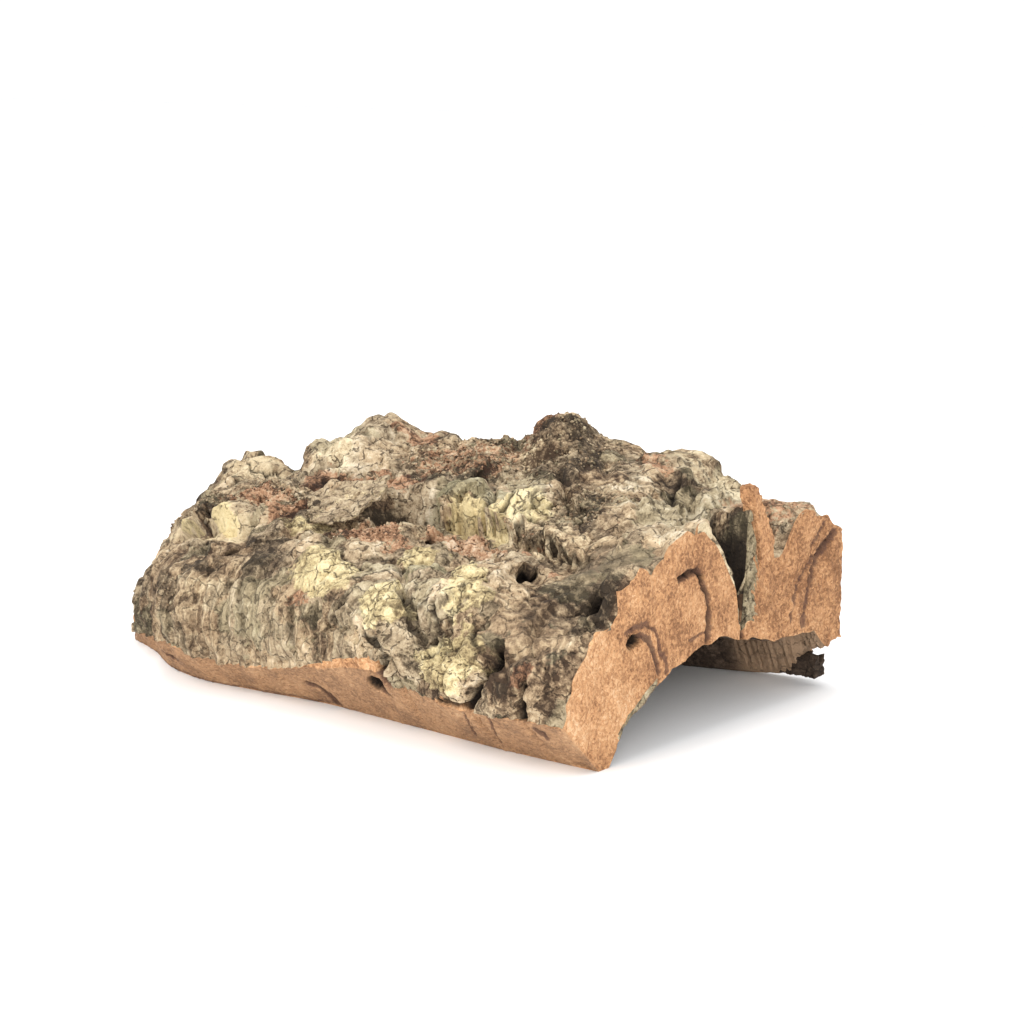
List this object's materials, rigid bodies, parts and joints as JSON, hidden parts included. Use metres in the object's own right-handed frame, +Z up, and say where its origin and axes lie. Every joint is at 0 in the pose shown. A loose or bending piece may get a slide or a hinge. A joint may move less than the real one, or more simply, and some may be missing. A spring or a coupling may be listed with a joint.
{
  "type": "cork bark slab",
  "caption": "Arched slab of virgin cork bark with a rough plated back, sawn ends and a sawn front foot, lying on its two long edges over a low tunnel",
  "frame": {"origin": "Middle of the slab's box in plan, on the surface that it lies on", "axes": "+X along the slab's length, +Y towards its sawn back, +Z up through the bark side"},
  "size_m": [0.2282, 0.1261, 0.0695],
  "materials": {
    "cork_bark": "rough matt cork under weathered grey-brown bark"
  },
  "bodies": {
    "root": {"bark_slab": "cork_bark"}
  },
  "joints": []
}
